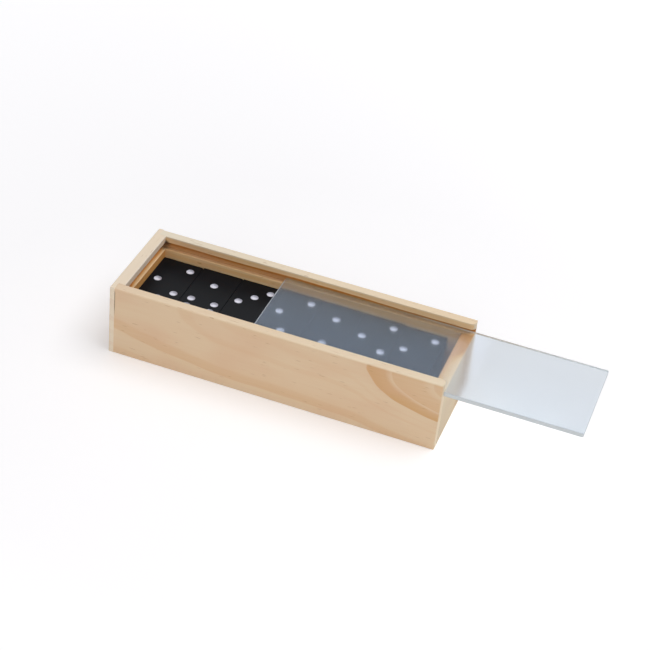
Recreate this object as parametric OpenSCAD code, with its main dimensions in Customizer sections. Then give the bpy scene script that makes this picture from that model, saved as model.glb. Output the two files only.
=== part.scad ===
// Domino box: a pine tray with a clear lid that slides in a groove, packed with a double-six set.
// Lengths are in millimetres. X runs along the box towards its open end, Y across it, Z up.
// The origin is the middle of the box's underside. The lid is drawn partly open.

/* [Tiles] */
// Length of a tile
tile_l = 39.4; // [34:0.1:46]
// Width of a tile
tile_w = 18.9; // [16:0.1:24]
// Thickness of a tile
tile_t = 5.1; // [3.5:0.1:8]
// Radius of a tile's upright corners
tile_corner_r = 0.9; // [0.5:0.1:1.5]
// Chamfer round a tile's two faces
tile_ease = 0.15; // [0.1:0.05:0.5]
// Gap between neighbouring tiles in a row
tile_gap = 0.1; // [0.05:0.05:0.5]
// Diameter of a pip at the face
pip_d = 3.6; // [2:0.1:4]
// Depth of a pip's dimple
pip_depth = 0.8; // [0.3:0.05:1.2]
// Distance between neighbouring pips of one half
pip_pitch = 5.4; // [4.6:0.1:5.8]
// Distance between the middles of a tile's two halves
half_pitch = 18.1; // [16.6:0.1:18.6]

/* [Room inside] */
// Finger room past the last tile in a row
end_room = 5.2; // [1:0.1:12]
// Room across the tray beside the tiles
side_room = 2.2; // [2:0.1:8]
// Height between the top tiles and the closed lid
head_room = 3.7; // [1:0.1:10]
// Gap between the back wall and the rows of tiles
back_gap = 0.5; // [0.4:0.1:0.9]

/* [Boards] */
// Thickness of the front and back boards
side_t = 4.2; // [3.8:0.1:8]
// Thickness of the two end boards
end_t = 5.4; // [5.2:0.1:9]
// Thickness of the floor panel
floor_t = 3.2; // [2:0.1:5]
// Height of the rail above the lid groove
rail_h = 3; // [2:0.1:6]
// Thickness of the closed end board's lip over the side boards' ends
lip_t = 2.4; // [1.5:0.1:2.6]
// Width of the rabbet that holds the floor panel
rabbet_w = 2; // [1:0.1:2.6]
// Radius of the sanded outer edges
outer_r = 0.7; // [0.3:0.1:1]
// Radius of the eased inner edges
inner_r = 0.3; // [0.1:0.05:0.4]
// Radius of the rails' inner corners at the open end
rail_end_r = 2; // [0.5:0.1:2.2]

/* [Lid] */
// Thickness of the lid
lid_t = 2; // [1.5:0.1:4]
// Depth of the lid groove in the boards
groove_d = 2.2; // [1.2:0.1:2.6]
// Free height over the lid in its groove
lid_rise = 1.9; // [0.2:0.1:3]
// Play between the lid's edge and the bottom of the groove
lid_play = 0.3; // [0.1:0.05:0.6]
// How far the lid is drawn out of the closed box
lid_drawn = 58.8; // [0:0.1:80]
// Radius of the lid's four corners
lid_corner_r = 0.8; // [0.3:0.1:2]
// Chamfer round the lid's two faces
lid_ease = 0.15; // [0.05:0.05:0.3]

/* [Hidden] */
$fn = 48;
eps = 0.5;                                    // how far a cutter runs past the face that it opens
columns = 7;                                  // tiles in a row
layers = 4;                                   // rows stacked up
tile_pitch = tile_w + tile_gap;

inner_l = columns * tile_pitch + end_room;
inner_w = tile_l + side_room;
box_l = inner_l + 2 * end_t;
box_w = inner_w + 2 * side_t;
tile_top_z = floor_t + layers * tile_t;
ledge_z = tile_top_z + head_room;             // what the lid slides on
groove_top_z = ledge_z + lid_t + lid_rise;
box_h = groove_top_z + rail_h;

closed_x = -box_l / 2;                        // outside of the closed end
open_x = box_l / 2;                           // outside of the open end
inner_x0 = closed_x + end_t;
inner_x1 = open_x - end_t;
inner_y = inner_w / 2;
box_y = box_w / 2;

lid_l = box_l - end_t + groove_d - lid_play;
lid_w = inner_w + 2 * (groove_d - lid_play);
lid_x0 = open_x - lid_l + lid_drawn;          // leading edge as drawn

pip_r = (pow(pip_d / 2, 2) + pow(pip_depth, 2)) / (2 * pip_depth);   // ball that cuts the dimple

// Where the pips of a half sit, in pip pitches along X and Y.
PIPS = [
    [],
    [[0, 0]],
    [[-1, -1], [1, 1]],
    [[-1, -1], [0, 0], [1, 1]],
    [[-1, -1], [-1, 1], [1, -1], [1, 1]],
    [[-1, -1], [-1, 1], [0, 0], [1, -1], [1, 1]],
    [[-1, -1], [-1, 0], [-1, 1], [1, -1], [1, 0], [1, 1]],
];

// The set as it is packed, from the floor up: each tile is [pips at the back, pips at the front].
PACKING = [
    [[0, 0], [4, 6], [5, 0], [6, 6], [3, 4], [1, 5], [2, 6]],
    [[5, 5], [0, 1], [6, 0], [3, 3], [4, 2], [5, 6], [1, 4]],
    [[4, 4], [3, 5], [6, 3], [0, 4], [2, 5], [1, 3], [4, 5]],
    [[2, 3], [1, 6], [3, 0], [2, 1], [1, 1], [2, 2], [2, 0]],
];

// How far each loose tile of the top row lies from the row's line, as shares of the gap behind it.
TOP_SHIFT = [-0.7, 0.1, 0.5, 0.8, 0.4, 0, -1.4];

function tile_name(t) = str("tile_", min(t[0], t[1]), "_", max(t[0], t[1]));
function place_x(column) = inner_x0 + tile_gap + column * tile_pitch + tile_w / 2;
function place_y(column, layer) =
    inner_y - back_gap - tile_l / 2 + (layer == layers - 1 ? TOP_SHIFT[column] * back_gap : 0);

// What rounding takes off a corner at the origin whose solid lies towards [sx, sy].
module corner_waste(r, sx, sy) {
    difference() {
        translate([sx > 0 ? -eps : -r, sy > 0 ? -eps : -r]) square(r + eps);
        translate([sx * r, sy * r]) circle(r);
    }
}

// A rectangle from [0, 0] to [w, h] with its corners rounded by r.
module rounded_plate(w, h, r) {
    difference() {
        square([w, h]);
        corner_waste(r, 1, 1);
        translate([w, 0]) corner_waste(r, -1, 1);
        translate([0, h]) corner_waste(r, 1, -1);
        translate([w, h]) corner_waste(r, -1, -1);
    }
}

// A rectangle from [0, 0] to [w, h] with its corners cut off at 45 degrees.
module cut_plate(w, h, c) {
    polygon([[c, 0], [w - c, 0], [w, c], [w, h - c], [w - c, h], [c, h], [0, h - c], [0, c]]);
}

// Turns a section drawn in Y and Z into a bar that runs along X.
module along_x(x0, x1) {
    translate([x0, 0, 0]) rotate([90, 0, 90]) linear_extrude(x1 - x0) children();
}

// Turns a section drawn in X and Z into a bar that runs along Y.
module along_y(y0, y1) {
    translate([0, y1, 0]) rotate([90, 0, 0]) linear_extrude(y1 - y0) children();
}

// The rabbet for the floor panel, cut round the glued frame from below. It stops short of the ends.
module floor_rabbet() {
    translate([inner_x0 - rabbet_w, -inner_y - rabbet_w, -eps])
        cube([inner_l + 2 * rabbet_w, inner_w + 2 * rabbet_w, floor_t + eps]);
}

// The moulded section that both side boards are cut from: the outer face at 0, the inner at side_t.
module side_section() {
    difference() {
        square([side_t, box_h]);
        translate([side_t - groove_d, ledge_z]) square([groove_d + eps, groove_top_z - ledge_z]);
        translate([0, box_h]) corner_waste(outer_r, 1, -1);
        corner_waste(inner_r, 1, 1);
        translate([side_t, box_h]) corner_waste(inner_r, -1, -1);
        translate([side_t, ledge_z]) corner_waste(inner_r, -1, -1);
    }
}

// The front board. It runs from the closed end board's lip to the open end, where its corners are
// sanded round, the rail's inner one most of all, so that the lid finds its way in.
module front_board() {
    color("burlywood")
    difference() {
        translate([0, -box_y, 0]) along_x(closed_x + lip_t, open_x) side_section();
        floor_rabbet();
        translate([open_x, -box_y, -eps]) linear_extrude(box_h + 2 * eps) corner_waste(outer_r, -1, 1);
        translate([open_x, -inner_y, groove_top_z - eps])
            linear_extrude(rail_h + 2 * eps) corner_waste(rail_end_r, -1, -1);
    }
}

module back_board() {
    mirror([0, 1, 0]) front_board();
}

// The closed end board. Rabbets in its upright edges lap over the side boards' ends, and its groove
// lines up with theirs.
module closed_end_board() {
    color("wheat")
    difference() {
        along_y(-box_y, box_y) translate([closed_x, 0])
            difference() {
                square([end_t, box_h]);
                translate([end_t - groove_d, ledge_z]) square([groove_d + eps, groove_top_z - ledge_z]);
                translate([0, box_h]) corner_waste(outer_r, 1, -1);
                corner_waste(inner_r, 1, 1);
                translate([end_t, box_h]) corner_waste(inner_r, -1, -1);
                translate([end_t, ledge_z]) corner_waste(inner_r, -1, -1);
            }
        floor_rabbet();
        for (s = [-1, 1])
            translate([closed_x, s * box_y, -eps])
                linear_extrude(box_h + 2 * eps) {
                    corner_waste(outer_r, 1, -s);
                    translate([lip_t, s > 0 ? -side_t : -eps]) square([end_t, side_t + eps]);
                }
    }
}

// The open end board stands between the side boards and stops at the ledge, so the lid slides over it.
module open_end_board() {
    color("wheat")
    difference() {
        along_y(-inner_y, inner_y) translate([inner_x1, 0])
            difference() {
                square([end_t, ledge_z]);
                translate([end_t, 0]) corner_waste(inner_r, -1, 1);
                translate([end_t, ledge_z]) corner_waste(outer_r, -1, -1);
                translate([0, ledge_z]) corner_waste(inner_r, 1, -1);
            }
        floor_rabbet();
    }
}

// The floor panel, glued into the rabbets of all four boards.
module floor_panel() {
    color("tan")
    translate([inner_x0 - rabbet_w, -inner_y - rabbet_w, 0])
        cube([inner_l + 2 * rabbet_w, inner_w + 2 * rabbet_w, floor_t]);
}

// The clear lid.
module lid() {
    color("lightsteelblue", 0.4)
    intersection() {
        translate([lid_x0, -lid_w / 2, ledge_z]) linear_extrude(lid_t) rounded_plate(lid_l, lid_w, lid_corner_r);
        translate([lid_x0, 0, ledge_z]) along_y(-lid_w / 2, lid_w / 2) cut_plate(lid_l, lid_t, lid_ease);
        translate([0, -lid_w / 2, ledge_z]) along_x(lid_x0, lid_x0 + lid_l) cut_plate(lid_w, lid_t, lid_ease);
    }
}

// The dimples of one half, whose middle is at the origin on the tile's top face.
module dimples(count) {
    for (p = PIPS[count])
        translate([p[0] * pip_pitch, p[1] * pip_pitch, pip_r - pip_depth]) sphere(pip_r);
}

// A tile, centred on the origin with its base at Z 0 and its first half at the back.
module tile(t) {
    color("dimgray")
    difference() {
        intersection() {
            translate([-tile_w / 2, -tile_l / 2, 0]) linear_extrude(tile_t) rounded_plate(tile_w, tile_l, tile_corner_r);
            translate([-tile_w / 2, 0, 0]) along_y(-tile_l / 2, tile_l / 2) cut_plate(tile_w, tile_t, tile_ease);
            translate([0, -tile_l / 2, 0]) along_x(-tile_w / 2, tile_w / 2) cut_plate(tile_l, tile_t, tile_ease);
        }
        translate([0, half_pitch / 2, tile_t]) dimples(t[0]);
        translate([0, -half_pitch / 2, tile_t]) dimples(t[1]);
    }
}

front_board();
back_board();
closed_end_board();
open_end_board();
floor_panel();
lid();
for (layer = [0 : layers - 1])
    for (column = [0 : columns - 1])
        translate([place_x(column), place_y(column, layer), floor_t + layer * tile_t])
                tile(PACKING[layer][column]);
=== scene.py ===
# Domino storage box: bare pine boards, a thin plywood floor, a set of black tiles and a clear lid
# that slides in a groove.
import math

import bmesh
import bpy
from mathutils import Matrix, Quaternion, Vector


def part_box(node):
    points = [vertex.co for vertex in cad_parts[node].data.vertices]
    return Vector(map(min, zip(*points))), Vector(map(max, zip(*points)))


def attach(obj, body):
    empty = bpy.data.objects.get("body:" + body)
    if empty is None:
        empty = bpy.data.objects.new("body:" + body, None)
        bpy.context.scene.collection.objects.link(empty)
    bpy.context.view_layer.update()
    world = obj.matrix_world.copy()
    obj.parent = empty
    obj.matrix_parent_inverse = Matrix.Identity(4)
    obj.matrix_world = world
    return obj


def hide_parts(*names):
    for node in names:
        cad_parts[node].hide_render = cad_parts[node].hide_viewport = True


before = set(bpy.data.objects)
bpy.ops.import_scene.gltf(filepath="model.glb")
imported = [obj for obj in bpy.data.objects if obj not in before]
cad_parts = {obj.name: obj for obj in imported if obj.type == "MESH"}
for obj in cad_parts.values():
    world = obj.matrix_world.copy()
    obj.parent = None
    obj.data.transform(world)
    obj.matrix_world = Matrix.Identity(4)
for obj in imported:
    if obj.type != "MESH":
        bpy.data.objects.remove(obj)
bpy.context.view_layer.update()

# ---- Side boards ------------------------------------------------------------------------------
# Two strips of flat-sawn pine, moulded in one pass with the lid groove and the floor rabbet, then
# sanded and left bare. The front one was cut close to the heart of the tree, so its growth rings
# come out as nested arches; the back one was cut further out and runs straight.

MM = 0.001
PINE_TONES = [(0, "#E9D0AF"), (0.3, "#E6C8A4"), (0.65, "#E0BC93"), (1, "#D8AC7B")]
INNER_TONES = [(0, "#F1CF9F"), (0.3, "#EDC38B"), (0.65, "#E6AB66"), (1, "#CD8238")]
PINE_PINK = "#E0B592"
PINE_RIM = "#ECE0C8"
DUCT_BROWN = "#A5713F"
GLUE_BROWN = "#6E5038"
# painted shade for the groove's back wall under the rail
GROOVE_SHADE_ORANGE = "#A5601E"
# painted shade for the groove's corner
CORNER_SHADE_GREY = "#4A4540"
# how far the grain is drawn each way from the board's middle, and the farthest heart, both in
# millimetres
BOARD_REACH = 80
HEART_REACH = 100
# between these heights the rim turns paler: partly sanded once more, partly painted top light
RIM_START = 33.3 * MM
RIM_FULL = 34 * MM
# half the width of a stain, where it is full and where it ends
STAIN_CORE = 0.1 * MM
STAIN_EDGE = 0.45 * MM
# how long a stain takes to fade out below and above, in millimetres
STAIN_TAIL = 5
STAIN_TIP = 1.4
# how far the dark spot of painted shade in the groove's corner lies past the joint, in front of the
# lid's back edge and above the lid
CORNER_SHADE_IN = 2.2 * MM
CORNER_SHADE_FORWARD = 1.2 * MM
CORNER_SHADE_UP = 0.6 * MM


def linear(hex_colour):
    """An sRGB hex colour as the linear RGBA that a socket takes."""
    parts = [int(hex_colour[i : i + 2], 16) / 255 for i in (1, 3, 5)]
    return [c / 12.92 if c <= 0.04045 else ((c + 0.055) / 1.055) ** 2.4 for c in parts] + [1]


def add(tree, kind, inputs=None, stops=None, points=None, **settings):
    """Adds a shader node. Inputs are values or sockets; stops fill a ramp and points a curve."""
    node = tree.nodes.new("ShaderNode" + kind)
    for key, value in settings.items():
        setattr(node, key, value)
    for key, value in (inputs or {}).items():
        if isinstance(value, bpy.types.NodeSocket):
            tree.links.new(value, node.inputs[key])
        else:
            node.inputs[key].default_value = value
    if stops:
        ramp = node.color_ramp.elements
        while len(ramp) < len(stops):
            ramp.new(1)
        for element, (position, colour) in zip(ramp, stops):
            element.position = position
            element.color = colour
    if points:
        curve = node.mapping.curves[0].points
        while len(curve) < len(points):
            curve.new(1, 1)
        for point, place in zip(curve, points):
            point.location = place
        node.mapping.update()
    return node


def new_material(name):
    """Starts a material, and gives its node tree and its main shader with it."""
    material = bpy.data.materials.new(name)
    material.use_nodes = True
    tree = material.node_tree
    return material, tree, tree.nodes["Principled BSDF"]


def ring_stops(rings):
    """The tones from the innermost ring to the outermost. Each ring turns slowly from early wood
    to late wood, and the next one starts pale again."""
    inner, outer = rings[0][0], rings[-1][0]
    stops = []
    for (start, _, _), (end, dark, late) in zip(rings, rings[1:]):
        shape = (
            (0.015, 0.06), (1 - late * 1.3, 0.25 * dark), (1 - late, 0.8 * dark), (0.985, dark),
        )
        for part, tone in shape:
            position = (start + part * (end - start) - inner) / (outer - inner)
            stops.append((position, (tone, tone, tone, 1)))
    return stops


def stain_cover(tree, own, axis, joint, low, high, strength):
    """How much a thin line of another colour covers: glue at a joint, or painted shade or painted
    light along a face. It lies where the board's own axis is at the joint and runs up from low to
    high, in millimetres."""
    away = add(tree, "Math", {0: own.outputs[axis], 1: joint * MM}, operation="SUBTRACT")
    near = add(tree, "Math", {0: away.outputs[0]}, operation="ABSOLUTE")
    line = add(
        tree, "MapRange",
        {"Value": near.outputs[0], "From Min": STAIN_CORE, "From Max": STAIN_EDGE,
         "To Min": strength, "To Max": 0},
    )
    above = add(
        tree, "MapRange",
        {"Value": own.outputs["Z"], "From Min": (low - STAIN_TAIL) * MM, "From Max": low * MM,
         "To Max": line.outputs[0]},
    )
    return add(
        tree, "MapRange",
        {"Value": own.outputs["Z"], "From Min": high * MM, "From Max": (high + STAIN_TIP) * MM,
         "To Min": above.outputs[0], "To Max": 0},
    )


def corner_shade_cover(tree, where, streak, middle):
    """How much painted shade covers the groove's corner: a dark spot some 4 mm across, ragged where
    the wood is streaky."""
    off = add(
        tree, "VectorMath", {0: where.outputs["Object"], 1: middle}, operation="DISTANCE"
    )
    ragged = add(
        tree, "Math", {0: streak.outputs["Fac"], 1: -2 * MM, 2: off.outputs["Value"]},
        operation="MULTIPLY_ADD",
    )
    return add(
        tree, "MapRange",
        {"Value": ragged.outputs[0], "From Min": 0.9 * MM, "From Max": 2.3 * MM,
         "To Min": 0.85, "To Max": 0},
    )


def pine(
    name, place, grain, heart, rings, tones=PINE_TONES, rim_tone=PINE_RIM, outward=(0, 0, 1),
    light_and_sanding=(0.7, 0.7), stain=None, corner_shade=None,
):
    """Bare sanded pine. It is matt and pale, with rings that darken outwards and stop sharply,
    fine fibre along the grain and short resin ducts.

    place maps the board so that its grain runs along X, its depth behind the outer face along Y
    and its height over the tree's heart along Z, in millimetres. grain is the board's own axis
    that the grain follows. heart gives, along the board, how far the heart lies outside its outer
    face. Each ring is its outer radius, how dark its late wood is and what share of it that takes.
    tones run from early wood to late wood. rim_tone is the paler colour of the rim, of the end
    grain and of faces that point outward; on the rim and those faces it is partly painted light.
    light_and_sanding is how much of it the rim takes at the board's two ends. stain is a thin line
    of another colour: the axis, joint, low, high and strength of stain_cover, and then the colour.
    corner_shade is the middle of a dark spot of painted shade."""
    material, tree, shader = new_material(name)
    where = add(tree, "TexCoord")
    own = add(tree, "SeparateXYZ", {"Vector": where.outputs["Object"]})
    facing = add(tree, "SeparateXYZ", {"Vector": where.outputs["Normal"]})
    spot = add(tree, "Mapping", {"Vector": where.outputs["Object"], **place}).outputs[0]
    axes = add(tree, "SeparateXYZ", {"Vector": spot})

    along = add(
        tree, "MapRange",
        {"Value": axes.outputs["X"], "From Min": -BOARD_REACH, "From Max": BOARD_REACH},
    )
    to_heart = add(
        tree, "FloatCurve", {"Value": along.outputs[0]},
        points=[(0.5 + x / BOARD_REACH / 2, d / HEART_REACH) for x, d in heart],
    )
    depth = add(
        tree, "Math",
        {0: to_heart.outputs[0], 1: HEART_REACH, 2: axes.outputs["Y"]},
        operation="MULTIPLY_ADD",
    )
    out = add(tree, "CombineXYZ", {"Y": depth.outputs[0], "Z": axes.outputs["Z"]})
    radius = add(tree, "VectorMath", {0: out.outputs[0]}, operation="LENGTH")

    # slow waves in the rings, 20 to 50 mm long and up to 2 mm high
    wave_at = add(tree, "Mapping", {"Vector": spot, "Scale": (0.025, 0.07, 0.07)})
    wave = add(tree, "TexNoise", {"Vector": wave_at.outputs[0], "Scale": 1, "Detail": 2})
    wavy = add(
        tree, "Math",
        {0: wave.outputs["Fac"], 1: 2, 2: radius.outputs["Value"]},
        operation="MULTIPLY_ADD",
    )
    share = add(
        tree, "MapRange",
        {"Value": wavy.outputs[0], "From Min": rings[0][0], "From Max": rings[-1][0]},
    )
    ring = add(tree, "ValToRGB", {"Fac": share.outputs[0]}, stops=ring_stops(rings))

    # fibre 0.2 mm wide, and streaks 1 mm wide, along the grain
    fibre_at = add(tree, "Mapping", {"Vector": spot, "Scale": (0.12, 5, 5)})
    fibre = add(tree, "TexNoise", {"Vector": fibre_at.outputs[0], "Scale": 1, "Detail": 3})
    streak_at = add(tree, "Mapping", {"Vector": spot, "Scale": (0.02, 0.9, 0.9)})
    streak = add(tree, "TexNoise", {"Vector": streak_at.outputs[0], "Scale": 1, "Detail": 3})
    with_fibre = add(
        tree, "Math",
        {0: fibre.outputs["Fac"], 1: 0.22, 2: ring.outputs["Color"]},
        operation="MULTIPLY_ADD",
    )
    with_streaks = add(
        tree, "Math",
        {0: streak.outputs["Fac"], 1: 0.3, 2: with_fibre.outputs[0]},
        operation="MULTIPLY_ADD",
    )
    tone = add(tree, "Math", {0: with_streaks.outputs[0], 1: 0.2}, operation="SUBTRACT")
    wood = add(
        tree, "ValToRGB", {"Fac": tone.outputs[0]},
        stops=[(position, linear(shade)) for position, shade in tones],
    )

    # patches some 30 mm long and 10 mm wide that turned pinker
    patch_at = add(tree, "Mapping", {"Vector": spot, "Scale": (0.035, 0.09, 0.09)})
    patch = add(tree, "TexNoise", {"Vector": patch_at.outputs[0], "Scale": 1, "Detail": 1})
    pink = add(
        tree, "MapRange",
        {"Value": patch.outputs["Fac"], "From Min": 0.45, "From Max": 0.75, "To Max": 0.4},
    )

    # the rim and the faces turned outward are paler, partly sanding and partly painted light where
    # the light falls on them; the dusty end grain is paler too
    sanded = add(
        tree, "MapRange", {"Value": along.outputs[0], "To Min": light_and_sanding[0], "To Max": light_and_sanding[1]}
    )
    rim = add(
        tree, "MapRange",
        {"Value": own.outputs["Z"], "From Min": RIM_START, "From Max": RIM_FULL,
         "To Max": sanded.outputs[0]},
    )
    turned = add(
        tree, "VectorMath", {0: where.outputs["Normal"], 1: outward}, operation="DOT_PRODUCT"
    )
    outside = add(
        tree, "MapRange",
        {"Value": turned.outputs["Value"], "From Min": 0.6, "From Max": 0.9, "To Max": 0.45},
    )
    lit_and_sanded = add(tree, "Math", {0: rim.outputs[0], 1: outside.outputs[0]}, operation="MAXIMUM")
    end_on = add(tree, "Math", {0: facing.outputs[grain]}, operation="ABSOLUTE")
    end_grain = add(
        tree, "MapRange",
        {"Value": end_on.outputs[0], "From Min": 0.6, "From Max": 0.9, "To Max": 0.75},
    )

    # resin ducts: dashes 3 mm long and 0.3 mm wide, where the noise peaks
    duct_at = add(tree, "Mapping", {"Vector": spot, "Scale": (0.2, 2.2, 2.2)})
    duct = add(tree, "TexNoise", {"Vector": duct_at.outputs[0], "Scale": 1, "Detail": 0})
    ducts = add(
        tree, "MapRange",
        {"Value": duct.outputs["Fac"], "From Min": 0.75, "From Max": 0.82, "To Max": 0.45},
    )

    covers = [(pink, PINE_PINK), (lit_and_sanded, rim_tone), (end_grain, rim_tone), (ducts, DUCT_BROWN)]
    if stain:
        *line, shade = stain
        covers.append((stain_cover(tree, own, *line), shade))
    if corner_shade:
        covers.append((corner_shade_cover(tree, where, streak, corner_shade), CORNER_SHADE_GREY))
    colour = wood.outputs["Color"]
    for cover, shade in covers:
        mixed = add(tree, "MixRGB", {0: cover.outputs[0], 1: colour, 2: linear(shade)})
        colour = mixed.outputs[0]
    tree.links.new(colour, shader.inputs["Base Color"])

    rough = add(tree, "MapRange", {"Value": fibre.outputs["Fac"], "To Min": 0.52, "To Max": 0.72})
    tree.links.new(rough.outputs[0], shader.inputs["Roughness"])
    relief = add(
        tree, "Bump", {"Height": with_fibre.outputs[0], "Strength": 0.35, "Distance": 0.06 * MM}
    )
    tree.links.new(relief.outputs[0], shader.inputs["Normal"])
    shader.inputs["Specular IOR Level"].default_value = 0.2
    return material


def dress(node, material):
    """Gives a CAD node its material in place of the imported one."""
    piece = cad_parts[node]
    piece.data.materials.clear()
    piece.data.materials.append(material)


front_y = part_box("front_board")[0].y / MM
joint_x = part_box("front_board")[0].x / MM
lid_back, lid_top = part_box("lid")[1].y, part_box("lid")[1].z
groove_corner = (joint_x * MM + CORNER_SHADE_IN, lid_back - CORNER_SHADE_FORWARD, lid_top + CORNER_SHADE_UP)

# the heart lies 33 mm up, and comes close to the face towards the open end; the glue shows at the
# joint with the closed end
front_pine = pine(
    "front_board_sanded_pine",
    {"Scale": (1000, 1000, 1000), "Location": (0, -front_y, -33)},
    "X",
    heart=[
        (-80, 30.8), (-60, 28), (-40, 25.1), (-24, 22.5), (3, 21.9), (28, 21.1), (36, 20.3),
        (42, 18.9), (44, 18.1), (48, 16.5), (54, 14), (60, 12), (66, 9.6), (74, 6.5), (80, 5),
    ],
    rings=[
        (0, 0, 0), (9, 0.4, 0.6), (15.8, 0.55, 0.7), (20, 0.97, 0.72), (23.5, 0.18, 0.2),
        (26.5, 0.25, 0.3), (37, 0.5, 0.28), (45, 0.35, 0.3), (60, 0.35, 0.3),
    ],
    rim_tone="#ECDBBE",
    light_and_sanding=(0, 0.95),
    stain=("X", joint_x, 24.5, 31.8, 0.9, GLUE_BROWN),
)
dress("front_board", front_pine)

# the heart lies 40 mm under the box; the groove's back wall, 23 mm behind the middle of the box,
# is drawn orange-brown, a painted shade under the rail, and its corner gets a dark spot of painted
# shade
back_pine = pine(
    "back_board_sanded_pine",
    {"Scale": (1000, -1000, 1000), "Location": (0, -front_y, 40)},
    "X",
    heart=[(-80, 12), (0, 8), (80, 15)],
    rings=[
        (38, 0, 0), (43, 0.6, 0.35), (48.5, 0.8, 0.4), (53, 0.5, 0.3), (59, 0.8, 0.35),
        (64, 0.5, 0.3), (68.5, 0.3, 0.35), (73.5, 0.95, 0.5), (80, 0.3, 0.3),
    ],
    tones=INNER_TONES,
    outward=(0, 1, 0),
    light_and_sanding=(1, 0.5),
    stain=("Y", 23, 28, 29.6, 0.45, GROOVE_SHADE_ORANGE),
    corner_shade=groove_corner,
)
dress("back_board", back_pine)

# ---- End boards -------------------------------------------------------------------------------
# Thicker pine, cut across the strip, so its grain runs across the box. The closed end is rabbeted
# over the side boards' ends and glued; the open end is glued between them and stops at the ledge.

END_TONES = [(0, "#F0D9B8"), (0.3, "#E8C898"), (0.65, "#DBA968"), (1, "#B97C33")]
# a painted highlight for the closed end's rail face
RAIL_LIGHT_PALE = "#F3EADC"
QUARTER_TURN = (0, 0, -math.pi / 2)

closed_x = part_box("closed_end_board")[0].x / MM
closed_pine = pine(
    "closed_end_sanded_pine",
    {"Scale": (-1000, 1000, 1000), "Rotation": QUARTER_TURN, "Location": (0, -closed_x, 30)},
    "Y",
    heart=[(-80, 16), (0, 12), (80, 18)],
    rings=[
        (28, 0, 0), (34, 0.5, 0.3), (39, 0.7, 0.3), (45, 0.5, 0.3), (52, 0.7, 0.3),
        (60.5, 0.7, 0.4), (70, 0.3, 0.3),
    ],
    tones=INNER_TONES,
    rim_tone="#F1E7D4",
    outward=(-1, 0, 0),
    # a pale line down the rail's inner face is a painted highlight, where the face turns to the
    # light
    stain=("X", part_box("closed_end_board")[1].x / MM, 31.5, 34, 0.6, RAIL_LIGHT_PALE),
    # a dark spot of painted shade in the groove's corner
    corner_shade=groove_corner,
)
dress("closed_end_board", closed_pine)

# its depth counts double, so that one wide ring crosses the narrow top at a slant
open_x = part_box("open_end_board")[1].x / MM
open_pine = pine(
    "open_end_sanded_pine",
    {"Scale": (2000, 1000, 1000), "Rotation": QUARTER_TURN, "Location": (0, 2 * open_x, -20)},
    "Y",
    heart=[
        (-80, 50), (-22, 52), (-10, 53), (1, 54.5), (7, 61.5), (12.5, 68), (17, 67), (21, 64),
        (80, 60),
    ],
    rings=[(46, 0, 0), (99, 1, 0.6)],
    tones=END_TONES,
    rim_tone="#CDC8B6",
    outward=(1, 0, 0),
    stain=("Y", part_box("open_end_board")[0].y / MM, 0, 8, 0.7, GLUE_BROWN),
)
dress("open_end_board", open_pine)

# ---- Floor panel ------------------------------------------------------------------------------
# Thin plywood, glued into the rabbet of the four boards. Its face veneer is peeled from the log,
# so the figure is wide, pale and wavy. Its underside shows, and its upper side beside the tiles.

plywood = pine(
    "peeled_plywood",
    {"Scale": (1000, 1000, 1000), "Location": (0, 12, 1.5)},
    "X",
    heart=[(-80, 34), (-20, 22), (30, 30), (80, 20)],
    rings=[
        (5, 0, 0), (12, 0.3, 0.4), (20, 0.4, 0.4), (27, 0.3, 0.4), (36, 0.4, 0.4), (44, 0.3, 0.4),
        (60, 0.3, 0.4),
    ],
)
dress("floor_panel", plywood)

# ---- Tiles ------------------------------------------------------------------------------------
# A double-six set, moulded in black plastic that came out satin. Each pip is a shallow dimple
# with a drop of white enamel wiped into it.

TILE_BLACK = "#0B0F13"
TILE_RUBBED = "#12151A"
# from grey to white; the greyer tones are painted shade in the dimples
ENAMEL_AND_SHADE_TONES = [(0.6, "#84838C"), (0.8, "#AEADB8"), (0.95, "#DEDDE6"), (1, "#E4E3EB")]
PIP_RADIUS = 1.8 * MM
PIP_DEPTH = 0.8 * MM
PIP_PITCH = 5.4 * MM
HALF_PITCH = 18.1 * MM
PAINT_THICKNESS = 0.05 * MM
# the paint stops just short of the dimple's rim
PAINT_REACH = 0.95
PAINT_RINGS = 7
PAINT_SIDES = 28
MERGE_DISTANCE = 0.001 * MM
PIPS = [
    [],
    [(0, 0)],
    [(-1, -1), (1, 1)],
    [(-1, -1), (0, 0), (1, 1)],
    [(-1, -1), (-1, 1), (1, -1), (1, 1)],
    [(-1, -1), (-1, 1), (0, 0), (1, -1), (1, 1)],
    [(-1, -1), (-1, 0), (-1, 1), (1, -1), (1, 0), (1, 1)],
]
# the tiles whose smaller half lies at the back
SMALL_END_BACK = "4_6 3_4 1_5 2_6 0_1 5_6 1_4 3_5 0_4 2_5 1_3 4_5 2_3 1_6".split()


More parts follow.
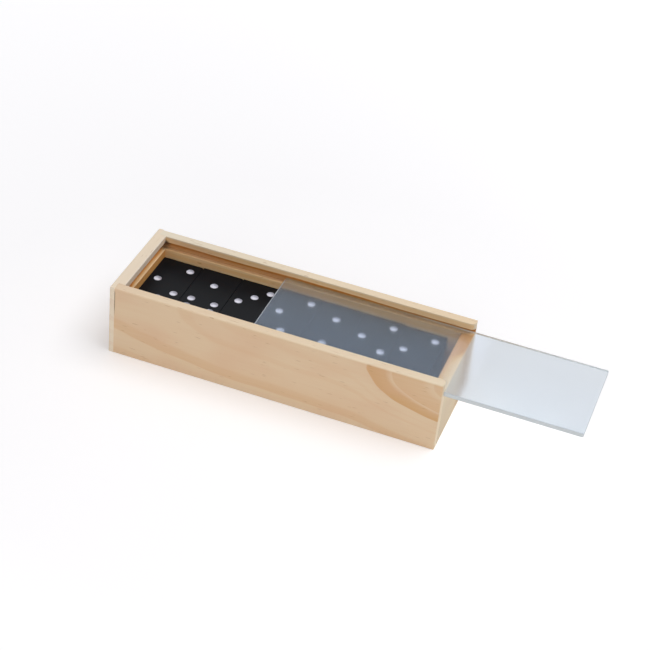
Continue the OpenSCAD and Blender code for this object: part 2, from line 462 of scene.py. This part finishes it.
def tile_plastic():
    """Satin moulded plastic: a nearly black body, with a gloss that handling has left uneven."""
    material, tree, shader = new_material("satin_moulded_plastic")
    where = add(tree, "TexCoord").outputs["Object"]
    # rubbed spots some 10 mm across
    rubbed = add(tree, "TexNoise", {"Vector": where, "Scale": 90, "Detail": 4})
    gloss = add(
        tree, "MapRange", {"Value": rubbed.outputs["Fac"], "To Min": 0.3, "To Max": 0.5}
    )
    tree.links.new(gloss.outputs[0], shader.inputs["Roughness"])
    body = add(
        tree, "ValToRGB", {"Fac": rubbed.outputs["Fac"]},
        stops=[(0.3, linear(TILE_BLACK)), (0.8, linear(TILE_RUBBED))],
    )
    tree.links.new(body.outputs["Color"], shader.inputs["Base Color"])
    # the mould's fine grain, drawn 0.5 mm coarse so that it shows
    skin = add(tree, "TexNoise", {"Vector": where, "Scale": 2200, "Detail": 2})
    relief = add(
        tree, "Bump", {"Height": skin.outputs["Fac"], "Strength": 0.15, "Distance": 0.02 * MM}
    )
    tree.links.new(relief.outputs[0], shader.inputs["Normal"])
    shader.inputs["Specular IOR Level"].default_value = 0.11
    return material


def pip_enamel():
    """White enamel: glossy and a little cool. It is drawn greyer up the back of each dimple and
    towards
    its rim: painted shade, where the dimple's wall turns away from the light behind."""
    material, tree, shader = new_material("white_enamel")
    where = add(tree, "TexCoord")
    facing = add(tree, "SeparateXYZ", {"Vector": where.outputs["Normal"]})
    # clouds 1.4 mm across
    cloud = add(tree, "TexNoise", {"Vector": where.outputs["Object"], "Scale": 700, "Detail": 3})
    # painted shade: greyer where the wall faces forward or steepens
    painted_shade_slope = add(
        tree, "Math", {0: facing.outputs["Y"], 1: 0.35, 2: facing.outputs["Z"]},
        operation="MULTIPLY_ADD",
    )
    cover = add(
        tree, "Math", {0: cloud.outputs["Fac"], 1: 0.12, 2: painted_shade_slope.outputs[0]},
        operation="MULTIPLY_ADD",
    )
    white = add(
        tree, "ValToRGB", {"Fac": cover.outputs[0]},
        stops=[(position, linear(shade)) for position, shade in ENAMEL_AND_SHADE_TONES],
    )
    tree.links.new(white.outputs["Color"], shader.inputs["Base Color"])
    shader.inputs["Roughness"].default_value = 0.25
    return material


def paint_pip(mesh, x, y, top):
    """Adds one dimple's paint: a thin bowl on the dimple's wall, made by turning its section."""
    ball = (PIP_RADIUS**2 + PIP_DEPTH**2) / (2 * PIP_DEPTH)
    middle = Vector((x, y, top - PIP_DEPTH + ball))
    rim = math.asin(PIP_RADIUS / ball) * PAINT_REACH
    section = []
    for i in range(PAINT_RINGS + 1):
        angle = rim * i / PAINT_RINGS
        radius = ball - PAINT_THICKNESS * math.sqrt(max(0, 1 - (i / PAINT_RINGS) ** 4))
        section.append(middle + radius * Vector((math.sin(angle), 0, -math.cos(angle))))
    verts = [mesh.verts.new(place) for place in section]
    edges = [mesh.edges.new(ends) for ends in zip(verts, verts[1:])]
    bmesh.ops.spin(
        mesh, geom=verts + edges, cent=middle, axis=(0, 0, 1), angle=2 * math.pi,
        steps=PAINT_SIDES, use_merge=True,
    )


def make(name, mesh, material):
    """Turns a finished bmesh into an object in the scene."""
    data = bpy.data.meshes.new(name)
    mesh.to_mesh(data)
    mesh.free()
    data.materials.append(material)
    piece = bpy.data.objects.new(name, data)
    bpy.context.scene.collection.objects.link(piece)
    return piece


plastic = tile_plastic()
enamel = pip_enamel()
for low in range(7):
    for high in range(low, 7):
        pair = f"{low}_{high}"
        dress("tile_" + pair, plastic)
        if high == 0:
            continue
        lowest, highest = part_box("tile_" + pair)
        x, y = (lowest.x + highest.x) / 2, (lowest.y + highest.y) / 2
        halves = (low, high) if pair in SMALL_END_BACK else (high, low)
        mesh = bmesh.new()
        for count, side in zip(halves, (1, -1)):
            for right, back in PIPS[count]:
                paint_pip(
                    mesh,
                    x + right * PIP_PITCH,
                    y + side * HALF_PITCH / 2 + back * PIP_PITCH,
                    highest.z,
                )
        bmesh.ops.remove_doubles(mesh, verts=mesh.verts, dist=MERGE_DISTANCE)
        bmesh.ops.recalc_face_normals(mesh, faces=mesh.faces)
        for face in mesh.faces:
            face.smooth = True
        paint = make("pips_" + pair, mesh, enamel)
        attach(paint, "box")

# ---- Lid --------------------------------------------------------------------------------------
# Clear acrylic sheet, 2 mm thick, sawn to size with its corners rounded. Its faces keep a fine
# haze from the protective film, and its sawn edges are frosted. It lies loose in its grooves.

LID_CORNER = 0.8 * MM
LID_EASE = 0.15 * MM
# the sheet's underside is drawn this much above the ledge, so that the two stay apart
LID_CLEARANCE = 0.04 * MM
SHEET_CLEAR = "#E8EEF5"
# a greyer tint for the outer part: painted shade
SHEET_SHADED = "#DBE0E3"
# a strong blue for the haze, partly a painted reflection of the cool ceiling
HAZE_AND_SKY_BLUE = "#9DC8F6"
SAWN_WHITE = "#EFF3F1"
# brown for the back edge, a painted shade from the groove, and for the inner end
GROOVE_SHADE_AND_DUST = "#CBA676"
SHADOW_CLEAR = "#F5F6F8"
# as shares of the sheet's length from its inner end: where the painted shade on the outer part
# starts and is full, and where the painted shade on the back edge starts to thin out
OUTER_SHADE_START = 0.6
OUTER_SHADE_FULL = 0.67
BACK_SHADE_FULL = 0.35


def acrylic(lowest, highest):
    """Cast acrylic: IOR 1.49, a faint grey-blue, veiled by a haze whose blue is partly a painted
    reflection of the cool ceiling, and frosted white where sawn.
    Its back edge is drawn brown with painted shade from the groove, least of it at the outer end,
    and its inner end takes a little of the same brown."""
    material, tree, shader = new_material("cast_acrylic")
    where = add(tree, "TexCoord")
    shader.inputs["Transmission Weight"].default_value = 1
    shader.inputs["IOR"].default_value = 1.49
    shader.inputs["Specular IOR Level"].default_value = 0.08
    shader.inputs["Roughness"].default_value = 0.185
    facing = add(tree, "SeparateXYZ", {"Vector": where.outputs["Normal"]})
    flat = add(tree, "Math", {0: facing.outputs["Z"]}, operation="ABSOLUTE")
    own = add(tree, "SeparateXYZ", {"Vector": where.outputs["Object"]})
    side = add(
        tree, "MapRange",
        {"Value": own.outputs["Y"], "From Min": lowest.y, "From Max": highest.y},
    )

    # the outer part is tinted greyer: painted shade
    outer_shade = add(
        tree, "MapRange",
        {"Value": own.outputs["X"], "From Min": lowest.lerp(highest, OUTER_SHADE_START).x,
         "From Max": lowest.lerp(highest, OUTER_SHADE_FULL).x},
    )
    sheet_tint = add(
        tree, "MixRGB",
        {0: outer_shade.outputs[0], 1: linear(SHEET_CLEAR), 2: linear(SHEET_SHADED)},
    )
    tree.links.new(sheet_tint.outputs[0], shader.inputs["Base Color"])

    # the haze is in clouds some 30 mm across, and thicker along the front, where the sheet is held
    smear = add(tree, "MapRange", {"Value": side.outputs[0], "To Min": 0.04, "To Max": 0.008})
    cloud = add(tree, "TexNoise", {"Vector": where.outputs["Object"], "Scale": 30, "Detail": 3})
    veil = add(
        tree, "Math", {0: cloud.outputs["Fac"], 1: 0.02, 2: smear.outputs[0]},
        operation="MULTIPLY_ADD",
    )
    # the front edge was sawn more finely than the others, so it is less frosted
    sawn = add(
        tree, "MapRange",
        {"Value": side.outputs[0], "From Max": 0.02, "To Min": 0.7, "To Max": 0.9},
    )
    cover = add(
        tree, "MapRange",
        {"Value": flat.outputs[0], "From Min": 0.5, "From Max": 0.97,
         "To Min": sawn.outputs[0], "To Max": veil.outputs[0]},
    )

    # painted shade on the back edge, which lies in the dark groove, and the same brown, weaker, on
    # the last millimetre of the inner end
    back = add(tree, "MapRange", {"Value": side.outputs[0], "From Min": 0.97, "From Max": 0.99})
    back_shade = add(
        tree, "MapRange",
        {"Value": own.outputs["X"], "From Min": lowest.lerp(highest, BACK_SHADE_FULL).x,
         "From Max": highest.x, "To Min": back.outputs[0], "To Max": 0},
    )
    inner = add(
        tree, "MapRange",
        {"Value": own.outputs["X"], "From Min": lowest.x, "From Max": lowest.x + MM,
         "To Min": 0.4, "To Max": 0},
    )
    shade_and_dust = add(tree, "Math", {0: back_shade.outputs[0], 1: inner.outputs[0]}, operation="MAXIMUM")
    edge = add(
        tree, "MixRGB", {0: shade_and_dust.outputs[0], 1: linear(SAWN_WHITE), 2: linear(GROOVE_SHADE_AND_DUST)}
    )
    face = add(tree, "MapRange", {"Value": flat.outputs[0], "From Min": 0.3, "From Max": 0.9})
    # the faces' haze is blue: partly the haze itself, partly a painted reflection of the ceiling
    tint = add(
        tree, "MixRGB", {0: face.outputs[0], 1: edge.outputs[0], 2: linear(HAZE_AND_SKY_BLUE)}
    )
    haze = add(tree, "BsdfDiffuse", {"Color": tint.outputs[0]})
    sheet = add(tree, "MixShader", {0: cover.outputs[0], 1: shader.outputs[0], 2: haze.outputs[0]})

    # shadow rays pass straight through, so that the sheet's shadow is as pale as a real one's
    clear = add(tree, "BsdfTransparent", {"Color": linear(SHADOW_CLEAR)})
    rays = add(tree, "LightPath")
    lit = add(
        tree, "MixShader",
        {0: rays.outputs["Is Shadow Ray"], 1: sheet.outputs[0], 2: clear.outputs[0]},
    )
    tree.links.new(lit.outputs[0], tree.nodes["Material Output"].inputs["Surface"])
    return material


lowest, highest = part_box("lid")
lowest.z += LID_CLEARANCE
middle = Matrix.Translation((lowest + highest) / 2)
extent = Matrix.Diagonal(highest - lowest).to_4x4()
mesh = bmesh.new()
bmesh.ops.create_cube(mesh, size=1, matrix=middle @ extent)
corners = [e for e in mesh.edges if abs(e.verts[0].co.z - e.verts[1].co.z) > MM]
bmesh.ops.bevel(
    mesh, geom=corners, offset=LID_CORNER, segments=6, affect="EDGES", profile=0.5, material=-1
)
arrises = [e for e in mesh.edges if abs(e.verts[0].co.z - e.verts[1].co.z) < LID_EASE]
bmesh.ops.bevel(
    mesh, geom=arrises, offset=LID_EASE, segments=2, affect="EDGES", profile=0.5, material=-1
)
lid_sheet = make("lid_sheet", mesh, acrylic(lowest, highest))
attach(lid_sheet, "lid")
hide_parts("lid")

# ---- Studio -----------------------------------------------------------------------------------
# A floor of white paper that runs off on all sides and a ceiling that is brightest overhead. One
# wide soft lamp hangs above the box, on the right, and a weaker one stands in front of it.

FLOOR_SIZE = 8
FLOOR_DROP = 0.02 * MM
PAPER_WHITE = "#F4F2F0"
# the paper's glow close to the box and far off, and the distances from the box in metres
GLOW_NEAR = 0.19
GLOW_FAR = 0.94
NEAR_DISTANCE = 0.15
FAR_DISTANCE = 1.65
# the ceiling's light by height, from the horizon to straight up
CEILING_LIGHT = [
    (0, (0.45, 0.43, 0.42, 1)), (0.45, (0.5, 0.5, 0.52, 1)), (0.8, (0.95, 0.97, 1.06, 1)),
    (1, (1, 1.02, 1.12, 1)),
]
CEILING_STRENGTH = 0.58


def straight_rays(tree):
    """1 where the surface is seen directly, in a gloss or through the clear lid, otherwise 0."""
    rays = add(tree, "LightPath").outputs
    mirrored = add(
        tree, "Math", {0: rays["Is Glossy Ray"], 1: rays["Is Transmission Ray"]},
        operation="MAXIMUM",
    )
    seen = add(
        tree, "Math", {0: rays["Is Camera Ray"], 1: mirrored.outputs[0]}, operation="MAXIMUM"
    )
    return seen.outputs[0]


paper, tree, paper_shader = new_material("studio_paper")
paper_shader.inputs["Base Color"].default_value = linear(PAPER_WHITE)
paper_shader.inputs["Roughness"].default_value = 0.9
paper_shader.inputs["Emission Color"].default_value = (1, 1, 1, 1)
# away from the lamps the paper glows more, so that it is white all the way to the horizon
floor_where = add(tree, "TexCoord")
away = add(tree, "VectorMath", {0: floor_where.outputs["Object"]}, operation="LENGTH")
glow = add(
    tree, "MapRange",
    {"Value": away.outputs["Value"], "From Min": NEAR_DISTANCE, "From Max": FAR_DISTANCE,
     "To Min": GLOW_NEAR, "To Max": GLOW_FAR},
)
shown = add(tree, "Math", {0: straight_rays(tree), 1: glow.outputs[0]}, operation="MULTIPLY")
tree.links.new(shown.outputs[0], paper_shader.inputs["Emission Strength"])

mesh = bmesh.new()
bmesh.ops.create_grid(mesh, x_segments=1, y_segments=1, size=FLOOR_SIZE / 2)
floor = make("floor", mesh, paper)
floor.location.z = -FLOOR_DROP

world = bpy.data.worlds.new("studio")
bpy.context.scene.world = world
world.use_nodes = True
tree = world.node_tree
tree.nodes.clear()
direction = add(tree, "TexCoord")
up = add(tree, "SeparateXYZ", {"Vector": direction.outputs["Generated"]})
ceiling = add(tree, "ValToRGB", {"Fac": up.outputs["Z"]}, stops=CEILING_LIGHT)
light = add(
    tree, "Background", {"Color": ceiling.outputs["Color"], "Strength": CEILING_STRENGTH}
)
white = add(tree, "Background", {"Color": (1, 1, 1, 1), "Strength": 1})
both = add(
    tree, "MixShader", {0: straight_rays(tree), 1: light.outputs[0], 2: white.outputs[0]}
)
add(tree, "OutputWorld", {"Surface": both.outputs[0]})


def softbox(name, place, size, power, colour):
    """An area lamp that faces the box, with its place and size in metres and its power in watts."""
    lamp = bpy.data.lights.new(name, "AREA")
    lamp.shape = "RECTANGLE"
    lamp.size, lamp.size_y = size
    lamp.energy = power
    lamp.color = colour
    piece = bpy.data.objects.new(name, lamp)
    bpy.context.scene.collection.objects.link(piece)
    piece.location = place
    piece.rotation_euler = Vector(place).to_track_quat("Z", "Y").to_euler()


softbox("key", (0.4, 0.1, 1.1), (0.9, 0.7), 5.95, (0.98, 0.99, 1))
softbox("fill", (0.1, -1, 0.5), (0.8, 0.8), 2.7, (1, 0.98, 0.96))

# ---- Camera -----------------------------------------------------------------------------------
# It looks down on the box from the front, a little to the right, and is tipped slightly.

VIEW_AZIMUTH = 16.42
VIEW_ELEVATION = 36.64
VIEW_TILT = 6.39
VIEW_DISTANCE = 0.7635
VIEW_AIM = Vector((10.45, 13.7, 17.06)) * MM
LENS = 97.24
SENSOR = 36

azimuth, elevation = math.radians(VIEW_AZIMUTH), math.radians(VIEW_ELEVATION)
level = math.cos(elevation)
outward = Vector((math.sin(azimuth) * level, -math.cos(azimuth) * level, math.sin(elevation)))
lens = bpy.data.cameras.new("camera")
lens.lens = LENS
lens.sensor_width = SENSOR
camera = bpy.data.objects.new("camera", lens)
bpy.context.scene.collection.objects.link(camera)
tilt = Quaternion((0, 0, 1), math.radians(VIEW_TILT))
turn = outward.to_track_quat("Z", "Y") @ tilt
stand = Matrix.Translation(VIEW_AIM + outward * VIEW_DISTANCE)
camera.matrix_world = stand @ turn.to_matrix().to_4x4()
bpy.context.scene.camera = camera
bpy.context.scene.view_settings.view_transform = "Standard"
